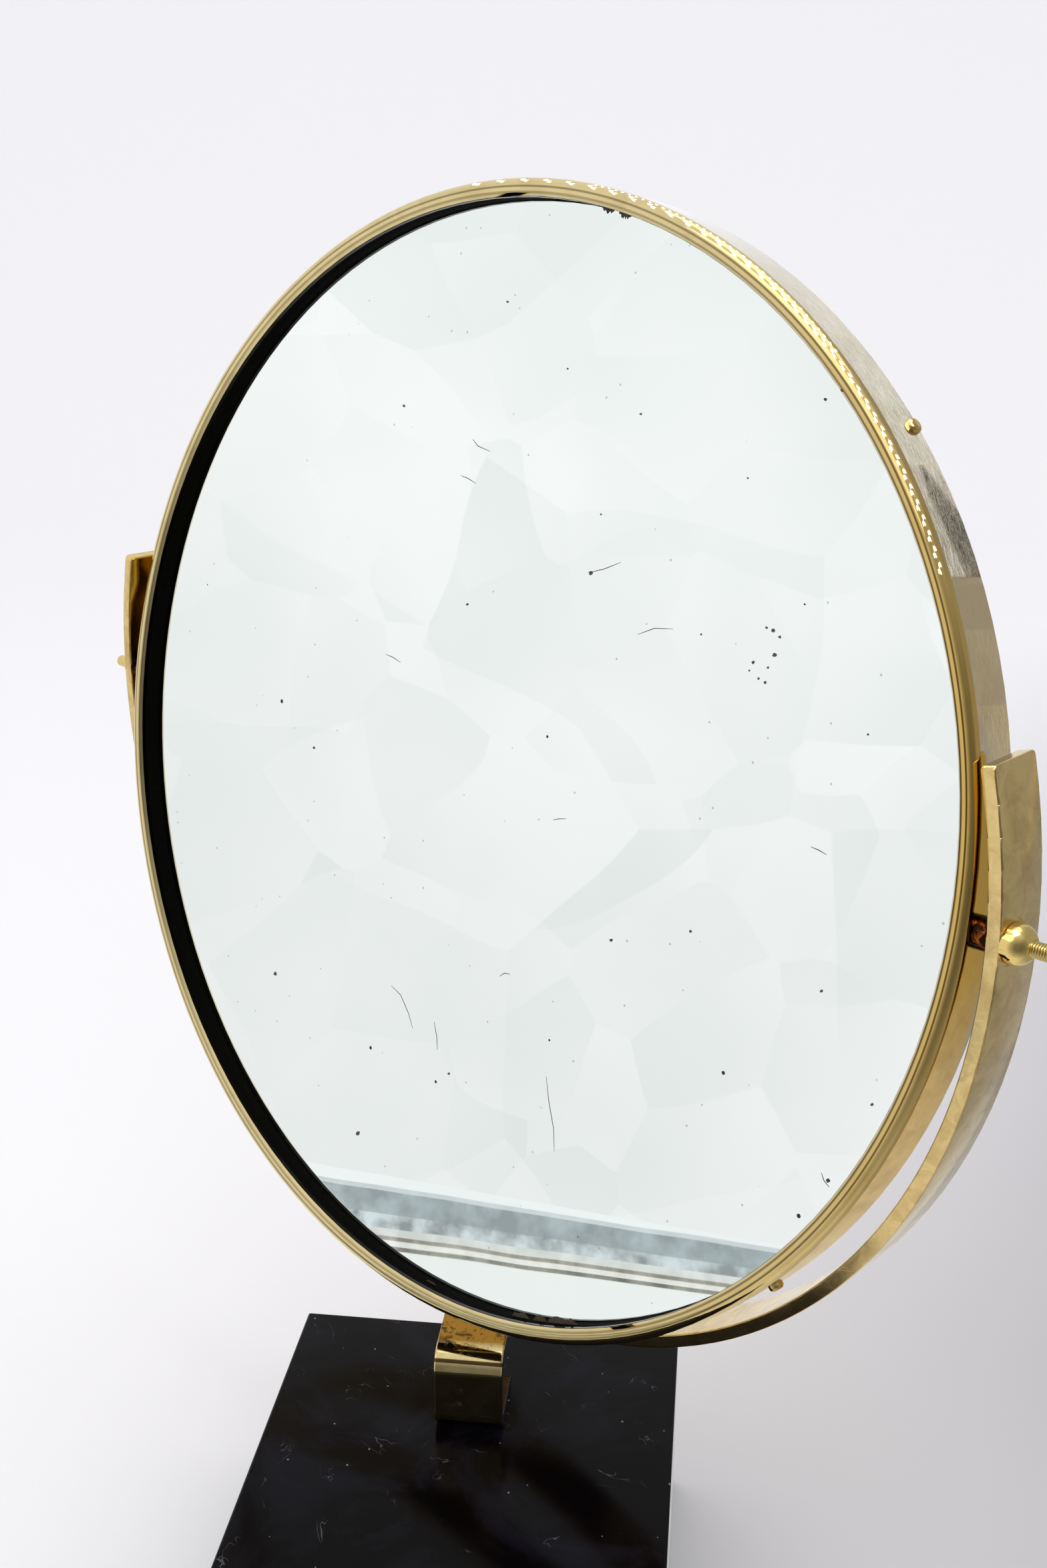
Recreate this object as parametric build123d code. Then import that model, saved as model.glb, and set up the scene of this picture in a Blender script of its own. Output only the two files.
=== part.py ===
from build123d import *
import os
from math import cos, radians, sin, sqrt

# Vanity mirror on a stone base. Millimetres, +Z up, -Y towards the person who uses it.
# The origin is the centre of the felt's underside, where the mirror stands.
# The mirror is drawn as photographed: the yoke is swivelled and the mirror tilted back.

# Stone base and its felt
BASE_WIDTH = 115.0
BASE_DEPTH = 152.0
BASE_THICKNESS = 50.5
BASE_EDGE_EASE = 0.8
FELT_THICKNESS = 1.5
FELT_INSET = 2.0
RECESS_RADIUS = 9.0
RECESS_DEPTH = 14.0

# C-shaped bracket bent from brass strip, open at the back
STEM_WIDTH = 19.2
STEM_STRIP = 3.5
STEM_HEIGHT = 25.0
STEM_BEND = 6.4
STEM_FOOT_LENGTH = 22.0
STEM_REACH_PAST_AXIS = 9.0
STEM_LONG_EDGE = 0.6
STEM_CORNER = 2.0
SWIVEL_FROM_BACK_EDGE = 11.8
STEM_FRONT_TO_SWIVEL = 37.2

# Bolt that holds the bracket down on the stone
STEM_BOLT_SHANK = 3.0
STEM_BOLT_HEAD = 5.2
STEM_BOLT_HEAD_HEIGHT = 3.0
STEM_BOLT_FROM_FRONT = 13.0
STEM_BOLT_SPARE = 2.0
STEM_WASHER = 7.0
STEM_WASHER_THICKNESS = 1.5
STEM_NUT_FLATS = 10.0
STEM_NUT_THICKNESS = 5.0

# Bolt that the yoke swivels on
SWIVEL_SHANK = 2.5
SWIVEL_HEAD = 4.8
SWIVEL_HEAD_HEIGHT = 2.4
SWIVEL_WASHER = 7.5
SWIVEL_WASHER_THICKNESS = 1.0
SWIVEL_LOCK_WASHER = 5.0
SWIVEL_LOCK_WASHER_THICKNESS = 1.0
SWIVEL_NUT_FLATS = 8.0
SWIVEL_NUT_THICKNESS = 4.0
SWIVEL_SPARE = 1.5

# Yoke: a flat strip bent to a bit more than half a circle
HEAD_TO_YOKE_GAP = 3.9
YOKE_STRIP = 3.5
YOKE_WIDTH = 16.4
YOKE_ARM_RISE_DEG = 14.5
YOKE_FOOT_FLAT = 0.25
YOKE_SPOT_FACE = 0.15
YOKE_OUTER_SPOT_FACE = 0.3
YOKE_SPOT_MARGIN = 0.8
YOKE_LONG_EDGE = 0.4
YOKE_CORNER = 1.2

# Pivot axis of the mirror, above the yoke's centre and in front of its middle
PIVOT_RISE = 1.65
PIVOT_FORWARD = 3.7

# Mirror head, as radii from its centre and depths behind the pivot axis
BAND_RADIUS = 150.0
BAND_WALL = 1.6
BAND_FRONT = -3.9
BAND_WIDTH = 13.0
BEZEL_PROUD = 0.2
BEZEL_LIP_WIDTH = 4.4
BEZEL_LIP_EDGE = 1.0
BEZEL_HEIGHT = 2.2
BEZEL_LIP_CHAMFER = 0.8
BEZEL_SHOULDER = 2.2
GASKET_SETBACK = 0.3
GASKET_DEPTH = 2.7
GASKET_WIDTH = 2.2
GLASS_CLEARANCE = 0.8
GLASS_THICKNESS = 4.0
GLASS_EDGE = 0.4
PAD_THICKNESS = 2.0
PAD_INSET = 0.6
PLATE_THICKNESS = 1.2
PLATE_FLANGE_WALL = 3.0
PLATE_SETBACK = 0.4
PLATE_CLEARANCE = 0.1

# Screws through the band into the back plate's flange
SCREW_SHANK = 1.25
SCREW_HEAD = 1.9
SCREW_HEAD_HEIGHT = 1.3
SCREW_TO_FLANGE_BACK = 0.3
HEAD_ROUND = 0.8
SCREW_ANGLE_DEG = 42.0

# Pivot studs, spacers and nuts
STUD_RADIUS = 1.85
STUD_THREAD_DEPTH = 0.25
STUD_THREAD_PITCH = 0.6
STUD_RIGHT_PAST_YOKE = 14.5
STUD_LEFT_PAST_YOKE = 9.6
STUD_TIP_CHAMFER = 0.5
STUD_BURIED = 0.05
SPACER_WALL = 1.85
DOME_NUT_WALL = 2.75
DOME_NUT_RIM = 1.2
DOME_NUT_HEIGHT = 5.4
DOME_NUT_TOP_WALL = 0.45
LOCK_NUT_WALL = 1.65
LOCK_NUT_THICKNESS = 2.6
LOCK_NUT_EDGE = 0.5

# Clearances
RUNNING = 0.05
LOOSE = 0.2

# The pose in the photograph
SWIVEL_TURN_DEG = -37.4
TILT_BACK_DEG = 9.2

# Worked out from the sizes above
BASE_TOP = FELT_THICKNESS + BASE_THICKNESS
SWIVEL_Y = BASE_DEPTH / 2 - SWIVEL_FROM_BACK_EDGE
STEM_FRONT_Y = SWIVEL_Y - STEM_FRONT_TO_SWIVEL
STEM_BACK_Y = SWIVEL_Y + STEM_REACH_PAST_AXIS
STEM_TOP = BASE_TOP + STEM_HEIGHT
STEM_BOLT_Y = STEM_FRONT_Y + STEM_BOLT_FROM_FRONT
YOKE_INNER = BAND_RADIUS + HEAD_TO_YOKE_GAP
YOKE_OUTER = YOKE_INNER + YOKE_STRIP
YOKE_CENTRE_Z = STEM_TOP + SWIVEL_WASHER_THICKNESS - YOKE_FOOT_FLAT + YOKE_OUTER
YOKE_INNER_FLAT = YOKE_INNER + YOKE_SPOT_FACE
YOKE_OUTER_FLAT = sqrt(YOKE_OUTER**2 - PIVOT_RISE**2) - YOKE_OUTER_SPOT_FACE
PIVOT_Z = YOKE_CENTRE_Z + PIVOT_RISE
BAND_INNER = BAND_RADIUS - BAND_WALL
BAND_BACK = BAND_FRONT + BAND_WIDTH
BEZEL_RADIUS = BAND_RADIUS + BEZEL_PROUD
BEZEL_LIP_RADIUS = BAND_RADIUS - BEZEL_LIP_WIDTH
BEZEL_FRONT = BAND_FRONT - BEZEL_HEIGHT
GLASS_RADIUS = BAND_INNER - GLASS_CLEARANCE
GLASS_FRONT = BAND_FRONT + GASKET_DEPTH
GLASS_BACK = GLASS_FRONT + GLASS_THICKNESS
PAD_RADIUS = GLASS_RADIUS - PAD_INSET
PAD_BACK = GLASS_BACK + PAD_THICKNESS
PLATE_BACK = PAD_BACK + PLATE_THICKNESS
PLATE_RADIUS = BAND_INNER - PLATE_CLEARANCE
FLANGE_BACK = BAND_BACK - PLATE_SETBACK
SCREW_DEPTH = (PAD_BACK + FLANGE_BACK) / 2
SCREW_LENGTH = BAND_WALL + PLATE_CLEARANCE + PLATE_FLANGE_WALL - SCREW_TO_FLANGE_BACK
SPACER_RADIUS = STUD_RADIUS + SPACER_WALL
DOME_NUT_RADIUS = STUD_RADIUS + DOME_NUT_WALL
DOME_NUT_TOP_RADIUS = STUD_RADIUS + DOME_NUT_TOP_WALL
LOCK_NUT_RADIUS = STUD_RADIUS + LOCK_NUT_WALL

YOKE_PLACE = Pos(0, SWIVEL_Y, YOKE_CENTRE_Z) * Rot(0, 0, SWIVEL_TURN_DEG)
PIVOT_PLACE = Pos(0, SWIVEL_Y, PIVOT_Z) * Rot(0, 0, SWIVEL_TURN_DEG) * Pos(0, -PIVOT_FORWARD, 0)
HEAD_PLACE = PIVOT_PLACE * Rot(-TILT_BACK_DEG, 0, 0)


def upright(radius, bottom, top, x=0.0, y=0.0):
    """A cylinder along Z between two heights."""
    return Pos(x, y, (bottom + top) / 2) * Cylinder(radius, top - bottom)


def across(radius, start, end, y=0.0, z=0.0):
    """A cylinder along X between two places."""
    return Pos((start + end) / 2, y, z) * Rot(0, 90, 0) * Cylinder(radius, end - start)


def ring(inner, outer, front, back):
    """A ring round the Y axis between two depths."""
    middle = (front + back) / 2
    disc = Pos(0, middle, 0) * Rot(90, 0, 0) * Cylinder(outer, back - front)
    if inner <= 0:
        return disc
    return disc - Pos(0, middle, 0) * Rot(90, 0, 0) * Cylinder(inner, 2 * (back - front))


def turned_about_x(points):
    """A solid turned about the X axis, from (x, radius) points."""
    return revolve(make_face(Polyline(*points, close=True)), Axis.X)


def hexagon_nut(flats, bore, bottom, top, y):
    """A six-sided nut on a vertical bolt."""
    outline = RegularPolygon(flats / 2, 6, major_radius=False) - Circle(bore)
    return Pos(0, y, bottom) * extrude(outline, top - bottom)


def domed_head(radius, height, bottom, y):
    """A low round screw head that stands on a flat."""
    head = upright(radius, bottom, bottom + height, 0, y)
    return fillet(head.edges().sort_by(Axis.Z)[-1], HEAD_ROUND * height)


# Base, felt and bracket


def marble_base():
    block = Pos(0, 0, FELT_THICKNESS + BASE_THICKNESS / 2) * Box(BASE_WIDTH, BASE_DEPTH, BASE_THICKNESS)
    block = fillet(block.edges(), BASE_EDGE_EASE)
    recess_top = FELT_THICKNESS + RECESS_DEPTH
    bore = upright(STEM_BOLT_SHANK + LOOSE, FELT_THICKNESS, BASE_TOP + 1, 0, STEM_BOLT_Y)
    recess = upright(RECESS_RADIUS, FELT_THICKNESS - 1, recess_top, 0, STEM_BOLT_Y)
    return block - bore - recess


def felt_pad():
    sheet = Box(BASE_WIDTH - 2 * FELT_INSET, BASE_DEPTH - 2 * FELT_INSET, FELT_THICKNESS)
    return Pos(0, 0, FELT_THICKNESS / 2) * sheet


def stem_bracket():
    inner_bend = STEM_BEND - STEM_STRIP
    length = STEM_BACK_Y - STEM_FRONT_Y
    outer = Pos(length / 2, STEM_HEIGHT / 2) * Rectangle(length, STEM_HEIGHT)
    outer = fillet(outer.vertices().sort_by(Axis.X)[:2], STEM_BEND)
    gap_height = STEM_HEIGHT - 2 * STEM_STRIP
    gap = Pos(STEM_STRIP + length / 2, STEM_HEIGHT / 2) * Rectangle(length, gap_height)
    gap = fillet(gap.vertices().sort_by(Axis.X)[:2], inner_bend)
    behind_foot = Pos(STEM_FOOT_LENGTH + length / 2, 0) * Rectangle(length, STEM_HEIGHT)
    strip = outer - gap - behind_foot
    bracket = extrude(Plane.YZ * strip, STEM_WIDTH / 2, both=True)
    bracket = Pos(0, STEM_FRONT_Y, BASE_TOP) * bracket
    sides = bracket.faces().filter_by(Axis.X)
    bracket = fillet(sides.edges(), STEM_LONG_EDGE)
    bracket -= upright(STEM_BOLT_SHANK + RUNNING, BASE_TOP - 1, BASE_TOP + STEM_STRIP + 1, 0, STEM_BOLT_Y)
    bracket -= upright(SWIVEL_SHANK + RUNNING, STEM_TOP - STEM_STRIP - 1, STEM_TOP + 1, 0, SWIVEL_Y)
    return bracket


def stem_bolt():
    head_seat = BASE_TOP + STEM_STRIP
    washer_top = FELT_THICKNESS + RECESS_DEPTH
    end = washer_top - STEM_WASHER_THICKNESS - STEM_NUT_THICKNESS - STEM_BOLT_SPARE
    shank = upright(STEM_BOLT_SHANK, end, head_seat, 0, STEM_BOLT_Y)
    return shank + domed_head(STEM_BOLT_HEAD, STEM_BOLT_HEAD_HEIGHT, head_seat, STEM_BOLT_Y)


def stem_washer():
    top = FELT_THICKNESS + RECESS_DEPTH
    bottom = top - STEM_WASHER_THICKNESS
    disc = upright(STEM_WASHER, bottom, top, 0, STEM_BOLT_Y)
    return disc - upright(STEM_BOLT_SHANK + LOOSE, bottom - 1, top + 1, 0, STEM_BOLT_Y)


def stem_nut():
    top = FELT_THICKNESS + RECESS_DEPTH - STEM_WASHER_THICKNESS
    return hexagon_nut(STEM_NUT_FLATS, STEM_BOLT_SHANK, top - STEM_NUT_THICKNESS, top, STEM_BOLT_Y)


# Swivel


def swivel_bolt():
    head_seat = YOKE_CENTRE_Z - YOKE_INNER_FLAT
    under_leg = STEM_TOP - STEM_STRIP
    end = under_leg - SWIVEL_LOCK_WASHER_THICKNESS - SWIVEL_NUT_THICKNESS - SWIVEL_SPARE
    shank = upright(SWIVEL_SHANK, end, head_seat, 0, SWIVEL_Y)
    return shank + domed_head(SWIVEL_HEAD, SWIVEL_HEAD_HEIGHT, head_seat, SWIVEL_Y)


def swivel_washer():
    top = STEM_TOP + SWIVEL_WASHER_THICKNESS
    disc = upright(SWIVEL_WASHER, STEM_TOP, top, 0, SWIVEL_Y)
    return disc - upright(SWIVEL_SHANK + RUNNING, STEM_TOP - 1, top + 1, 0, SWIVEL_Y)


def swivel_lock_washer():
    top = STEM_TOP - STEM_STRIP
    bottom = top - SWIVEL_LOCK_WASHER_THICKNESS
    disc = upright(SWIVEL_LOCK_WASHER, bottom, top, 0, SWIVEL_Y)
    return disc - upright(SWIVEL_SHANK + RUNNING, bottom - 1, top + 1, 0, SWIVEL_Y)


def swivel_nut():
    top = STEM_TOP - STEM_STRIP - SWIVEL_LOCK_WASHER_THICKNESS
    return hexagon_nut(SWIVEL_NUT_FLATS, SWIVEL_SHANK, top - SWIVEL_NUT_THICKNESS, top, SWIVEL_Y)


# Yoke, drawn about its own centre with the pivot axis along X


def yoke_band():
    reach = 2 * YOKE_OUTER
    rise = radians(YOKE_ARM_RISE_DEG)
    side = (reach * cos(rise), reach * sin(rise))
    above = make_face(
        Polyline((0, 0), side, (side[0], 2 * reach), (-side[0], 2 * reach), (-side[0], side[1]), close=True)
    )
    strip = Circle(YOKE_OUTER) - Circle(YOKE_INNER) - above
    band = extrude(Plane.XZ * strip, YOKE_WIDTH / 2, both=True)
    ends = band.faces().filter_by(GeomType.PLANE).filter_by(Axis.Y, reverse=True)
    corners = ends.edges().filter_by(Axis.Y, reverse=True)
    band = fillet(corners, YOKE_CORNER)
    long_edges = band.edges().filter_by(lambda e: e.length > YOKE_INNER)
    band = fillet(long_edges, YOKE_LONG_EDGE)
    foot = Pos(0, 0, -YOKE_OUTER) * Box(YOKE_OUTER, YOKE_WIDTH + 2, 2 * YOKE_FOOT_FLAT)
    band -= foot
    head_room = SWIVEL_HEAD + YOKE_SPOT_MARGIN
    band -= upright(head_room, -YOKE_INNER_FLAT, -YOKE_INNER_FLAT + SWIVEL_HEAD_HEIGHT)
    band -= upright(SWIVEL_SHANK + RUNNING, -YOKE_OUTER - 1, -YOKE_INNER + 1)
    spacer_room = SPACER_RADIUS + YOKE_SPOT_MARGIN
    for way, nut in ((1, DOME_NUT_RADIUS), (-1, LOCK_NUT_RADIUS)):
        inner = across(spacer_room, YOKE_INNER - YOKE_STRIP, YOKE_INNER_FLAT, -PIVOT_FORWARD, PIVOT_RISE)
        hole = across(STUD_RADIUS + RUNNING, YOKE_INNER - 1, YOKE_OUTER + 1, -PIVOT_FORWARD, PIVOT_RISE)
        outer = across(
            nut + YOKE_SPOT_MARGIN, YOKE_OUTER_FLAT, YOKE_OUTER + 1, -PIVOT_FORWARD, PIVOT_RISE
        )
        for cut in (inner, hole, outer):
            band -= cut if way > 0 else mirror(cut, Plane.YZ)
    return band


# Mirror head, drawn about the pivot axis with the glass facing -Y


def outer_band():
    hoop = ring(BAND_INNER, BAND_RADIUS, BAND_FRONT, BAND_BACK)
    for way in (1, -1):
        start, end = sorted((way * (BAND_INNER - 1), way * (BAND_RADIUS + 1)))
        hoop -= across(STUD_RADIUS, start, end)
    for hole in around_the_band(across(SCREW_SHANK + RUNNING, BAND_INNER - 1, BAND_RADIUS + 1, SCREW_DEPTH)):
        hoop -= hole
    return hoop


def around_the_band(piece):
    """Copies of a piece at the four screw places."""
    angles = (SCREW_ANGLE_DEG, 180 - SCREW_ANGLE_DEG, 180 + SCREW_ANGLE_DEG, -SCREW_ANGLE_DEG)
    return [Rot(0, -angle, 0) * piece for angle in angles]


def front_bezel():
    edge = BAND_FRONT - BEZEL_LIP_EDGE
    flat_start = (BEZEL_LIP_RADIUS + BEZEL_LIP_CHAMFER, BEZEL_FRONT + BEZEL_LIP_CHAMFER / 4)
    shoulder_start = (BEZEL_RADIUS - BEZEL_SHOULDER, BEZEL_FRONT)
    diagonal = BEZEL_SHOULDER * (1 - cos(radians(45)))
    fall = BEZEL_HEIGHT * (1 - sin(radians(45)))
    outline = make_face(
        Polyline((BEZEL_RADIUS, BAND_FRONT), (BEZEL_LIP_RADIUS, BAND_FRONT), (BEZEL_LIP_RADIUS, edge))
        + Polyline((BEZEL_LIP_RADIUS, edge), flat_start, shoulder_start)
        + ThreePointArc(
            shoulder_start,
            (BEZEL_RADIUS - diagonal, BEZEL_FRONT + fall),
            (BEZEL_RADIUS, BAND_FRONT),
        )
    )
    return revolve(outline, Axis.Y)


def glass_gasket():
    inner = BEZEL_LIP_RADIUS + GASKET_SETBACK
    return ring(inner, inner + GASKET_WIDTH, BAND_FRONT, GLASS_FRONT)


def mirror_glass():
    disc = ring(0, GLASS_RADIUS, GLASS_FRONT, GLASS_BACK)
    return chamfer(disc.edges().filter_by(GeomType.CIRCLE), GLASS_EDGE)


def backing_pad():
    return ring(0, PAD_RADIUS, GLASS_BACK, PAD_BACK)


def back_plate():
    plate = ring(0, PLATE_RADIUS, PAD_BACK, PLATE_BACK)
    plate += ring(PLATE_RADIUS - PLATE_FLANGE_WALL, PLATE_RADIUS, PAD_BACK, FLANGE_BACK)
    for hole in around_the_band(across(SCREW_SHANK, BAND_RADIUS - SCREW_LENGTH, BAND_RADIUS, SCREW_DEPTH)):
        plate -= hole
    return plate


def band_screws():
    shank = across(SCREW_SHANK, BAND_RADIUS - SCREW_LENGTH, BAND_RADIUS, SCREW_DEPTH)
    head = Rot(0, 90, 0) * domed_head(SCREW_HEAD, SCREW_HEAD_HEIGHT, 0, 0)
    screw = shank + Pos(BAND_RADIUS, SCREW_DEPTH, 0) * head
    return Compound(children=[copy for copy in around_the_band(screw)])


def pivot_spacer(way):
    tube = across(SPACER_RADIUS, BAND_INNER, YOKE_INNER_FLAT) - across(STUD_RADIUS, 0, YOKE_OUTER)
    tube -= ring(0, BAND_RADIUS, -2 * SPACER_RADIUS, 2 * SPACER_RADIUS)
    return tube if way > 0 else mirror(tube, Plane.YZ)


def threaded(start, end):
    """Points of a thread drawn as rings, from one place on the X axis to another."""
    points = []
    root = STUD_RADIUS - STUD_THREAD_DEPTH
    turns = int((end - start) / STUD_THREAD_PITCH)
    for turn in range(turns):
        place = start + turn * STUD_THREAD_PITCH
        points.append((place, STUD_RADIUS))
        points.append((place + STUD_THREAD_PITCH / 2, root))
    points.append((start + turns * STUD_THREAD_PITCH, STUD_RADIUS))
    return points


def right_pivot_stud():
    end = YOKE_OUTER + STUD_RIGHT_PAST_YOKE
    start = BAND_INNER + STUD_BURIED
    thread = threaded(YOKE_OUTER_FLAT + DOME_NUT_HEIGHT, end - STUD_TIP_CHAMFER)
    tip = [(end, STUD_RADIUS - STUD_TIP_CHAMFER), (end, 0)]
    return turned_about_x([(start, 0), (start, STUD_RADIUS), *thread, *tip])


def left_pivot_stud():
    end = YOKE_OUTER + STUD_LEFT_PAST_YOKE
    start = BAND_INNER + STUD_BURIED
    pin = across(STUD_RADIUS, start, end)
    pin = fillet(pin.edges().sort_by(Axis.X)[-1], 0.8 * STUD_RADIUS)
    return mirror(pin, Plane.YZ)


def right_dome_nut():
    seat = YOKE_OUTER_FLAT
    bore = STUD_RADIUS + RUNNING
    top = seat + DOME_NUT_HEIGHT
    middle = (seat + DOME_NUT_RIM + 0.62 * (DOME_NUT_HEIGHT - DOME_NUT_RIM), DOME_NUT_RADIUS * 0.86)
    outline = make_face(
        Polyline((top, DOME_NUT_TOP_RADIUS), (top, bore), (seat, bore), (seat, DOME_NUT_RADIUS))
        + Line((seat, DOME_NUT_RADIUS), (seat + DOME_NUT_RIM, DOME_NUT_RADIUS))
        + ThreePointArc((seat + DOME_NUT_RIM, DOME_NUT_RADIUS), middle, (top, DOME_NUT_TOP_RADIUS))
    )
    return revolve(outline, Axis.X)


def left_lock_nut():
    seat = YOKE_OUTER_FLAT
    nut = across(LOCK_NUT_RADIUS, seat, seat + LOCK_NUT_THICKNESS)
    nut = chamfer(nut.edges().sort_by(Axis.X)[-1], LOCK_NUT_EDGE)
    nut -= across(STUD_RADIUS + RUNNING, seat - 1, seat + LOCK_NUT_THICKNESS + 1)
    return mirror(nut, Plane.YZ)


NODES = {
    "marble_base": marble_base(),
    "felt_pad": felt_pad(),
    "stem_bracket": stem_bracket(),
    "stem_bolt": stem_bolt(),
    "stem_washer": stem_washer(),
    "stem_nut": stem_nut(),
    "swivel_bolt": swivel_bolt(),
    "swivel_washer": swivel_washer(),
    "swivel_lock_washer": swivel_lock_washer(),
    "swivel_nut": swivel_nut(),
    "yoke_band": YOKE_PLACE * yoke_band(),
    "outer_band": HEAD_PLACE * outer_band(),
    "front_bezel": HEAD_PLACE * front_bezel(),
    "glass_gasket": HEAD_PLACE * glass_gasket(),
    "mirror_glass": HEAD_PLACE * mirror_glass(),
    "backing_pad": HEAD_PLACE * backing_pad(),
    "back_plate": HEAD_PLACE * back_plate(),
    "band_screws": HEAD_PLACE * band_screws(),
    "right_spacer": HEAD_PLACE * pivot_spacer(1),
    "left_spacer": HEAD_PLACE * pivot_spacer(-1),
    "right_pivot_stud": HEAD_PLACE * right_pivot_stud(),
    "left_pivot_stud": HEAD_PLACE * left_pivot_stud(),
    "right_dome_nut": HEAD_PLACE * right_dome_nut(),
    "left_lock_nut": HEAD_PLACE * left_lock_nut(),
}

os.makedirs("parts", exist_ok=True)
for node, piece in NODES.items():
    export_step(piece, f"parts/{node}.step")
    print(node, round(piece.volume, 1))
print("swivel axis", 0, SWIVEL_Y, STEM_TOP)
print("pivot centre", tuple(round(v, 4) for v in PIVOT_PLACE.position))
print("pivot axis", tuple(round(v, 6) for v in (Rot(0, 0, SWIVEL_TURN_DEG) * Pos(1, 0, 0)).position))
print("outer flat at", round(YOKE_OUTER_FLAT, 4))
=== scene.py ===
from math import atan2, ceil, cos, pi, radians, sin
from random import Random

import bpy
from mathutils import Matrix, Vector


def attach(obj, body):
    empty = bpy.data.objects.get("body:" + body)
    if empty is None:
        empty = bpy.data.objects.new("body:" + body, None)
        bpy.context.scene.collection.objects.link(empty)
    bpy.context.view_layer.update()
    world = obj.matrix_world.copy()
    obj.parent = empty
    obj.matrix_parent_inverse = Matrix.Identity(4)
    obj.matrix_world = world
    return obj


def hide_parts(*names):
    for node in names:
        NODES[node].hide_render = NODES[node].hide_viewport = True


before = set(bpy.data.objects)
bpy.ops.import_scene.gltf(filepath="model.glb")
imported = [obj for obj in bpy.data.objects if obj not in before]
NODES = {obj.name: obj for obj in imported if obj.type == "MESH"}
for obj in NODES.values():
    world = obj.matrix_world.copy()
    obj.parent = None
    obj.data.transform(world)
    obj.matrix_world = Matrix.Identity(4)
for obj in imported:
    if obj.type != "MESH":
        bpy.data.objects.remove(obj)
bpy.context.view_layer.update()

# Image size the camera is worked out for, in pixels, and the fitted camera
FRAME_WIDTH = 1568
FRAME_HEIGHT = 2348
FOCAL_PIXELS = 2545.1
SENSOR_MM = 36.0
CAMERA_PLACE = Vector((0.06055, -0.36266, 0.37875))
CAMERA_YAW = radians(6.6503)
CAMERA_PITCH = radians(-18.7421)
CAMERA_ROLL = radians(-0.2025)

# Where the head is: swivelled about Z and tilted back about its pivots
PIVOT = Vector((-0.0022473, 0.0612607, 0.2368))
SWIVEL = radians(-37.4)
TILT = radians(-9.2)
HEAD = Matrix.Translation(PIVOT) @ Matrix.Rotation(SWIVEL, 4, "Z") @ Matrix.Rotation(TILT, 4, "X")
SWIVEL_AXIS = Vector((0.0, 0.0642, 0.077))

# Head sizes in metres, as the CAD has them
BAND_RADIUS = 0.150
GLASS_FRONT = -0.0012
GLASS_VISIBLE = 0.1459
BAND_FRONT = -0.0039
SHOULDER_CENTRE = 0.1480
SHOULDER_ROUND = 0.0022
STUD_RADIUS = 0.00185
STUD_ROOT = 0.00158
STUD_START = 0.14845
STUD_THREAD_START = 0.1625
STUD_END = 0.1719
THREAD_PITCH = 0.0006
YOKE_INNER = BAND_RADIUS + 0.0039

# Where the lines drawn in the materials are: bezel grooves and the painted shade at the lip's inner edge by
# radius, and the bracket's painted reflections by height and depth
LIP_INNER = 0.14572
LIP_GROOVE = 0.14650
SHOULDER_GROOVE = 0.14790
BRACKET_TOP = SWIVEL_AXIS.z
BRACKET_FRONT = 0.0270
BEND_ROUND = 0.0064
BEND_CENTRE_DEPTH = BRACKET_FRONT + BEND_ROUND
BEND_CENTRE_HEIGHT = BRACKET_TOP - BEND_ROUND
BEND_LINE_ANGLE = 0.70

# How far from the mirror the panels stand that only reflections see
LEDGE_DISTANCE = 0.42
LEDGE_TOP_DISTANCE = LEDGE_DISTANCE + 0.010
LEDGE_EDGE_DISTANCE = LEDGE_DISTANCE + 0.012
LEDGE_GLOW_DISTANCE = LEDGE_DISTANCE + 0.020
BAND_PANEL_DISTANCE = 0.25
PALE_PANEL_DISTANCE = 0.28
BEAD_DISTANCE = 0.12

# Strengths of the light
BEAD_STRENGTH = 24.0
SKY_STRENGTH = 0.91
KEY_POWER = 3.5
TOP_POWER = 3.0

# Faces that meet at more than this many degrees keep a crisp edge
CRISP_ANGLE = 32.0
THREAD_CRISP_ANGLE = 50.0


def srgb(red, green, blue):
    """A linear colour from 0 to 255 display values."""
    def one(value):
        value /= 255
        return value / 12.92 if value <= 0.04045 else ((value + 0.055) / 1.055) ** 2.4
    return (one(red), one(green), one(blue), 1.0)


SHADED_PAPER = srgb(238, 241, 240)
WHITE_PAPER = srgb(255, 255, 255)
PLAIN_SKY = srgb(240, 239, 242)


# Camera


def camera_axes():
    turn = Matrix.Rotation(CAMERA_YAW, 3, "Z") @ Matrix.Rotation(CAMERA_PITCH, 3, "X")
    turn = turn @ Matrix.Rotation(CAMERA_ROLL, 3, "Y")
    return turn.col[0].copy(), turn.col[1].copy(), turn.col[2].copy()


RIGHT, FORWARD, UP = camera_axes()


def make_camera():
    data = bpy.data.cameras.new("camera")
    data.sensor_width = SENSOR_MM
    data.lens = FOCAL_PIXELS * SENSOR_MM / FRAME_HEIGHT
    data.clip_start = 0.01
    data.clip_end = 50
    camera = bpy.data.objects.new("camera", data)
    bpy.context.scene.collection.objects.link(camera)
    turn = Matrix((RIGHT, UP, -FORWARD)).transposed().to_4x4()
    camera.matrix_world = Matrix.Translation(CAMERA_PLACE) @ turn
    bpy.context.scene.camera = camera


def ray(u, v):
    """The direction in which the camera sees a pixel."""
    across = (u - FRAME_WIDTH / 2) / FOCAL_PIXELS
    down = (v - FRAME_HEIGHT / 2) / FOCAL_PIXELS
    return (FORWARD + RIGHT * across - UP * down).normalized()


GLASS_CENTRE = HEAD @ Vector((0, GLASS_FRONT, 0))
GLASS_NORMAL = HEAD.to_3x3() @ Vector((0, -1, 0))


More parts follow.
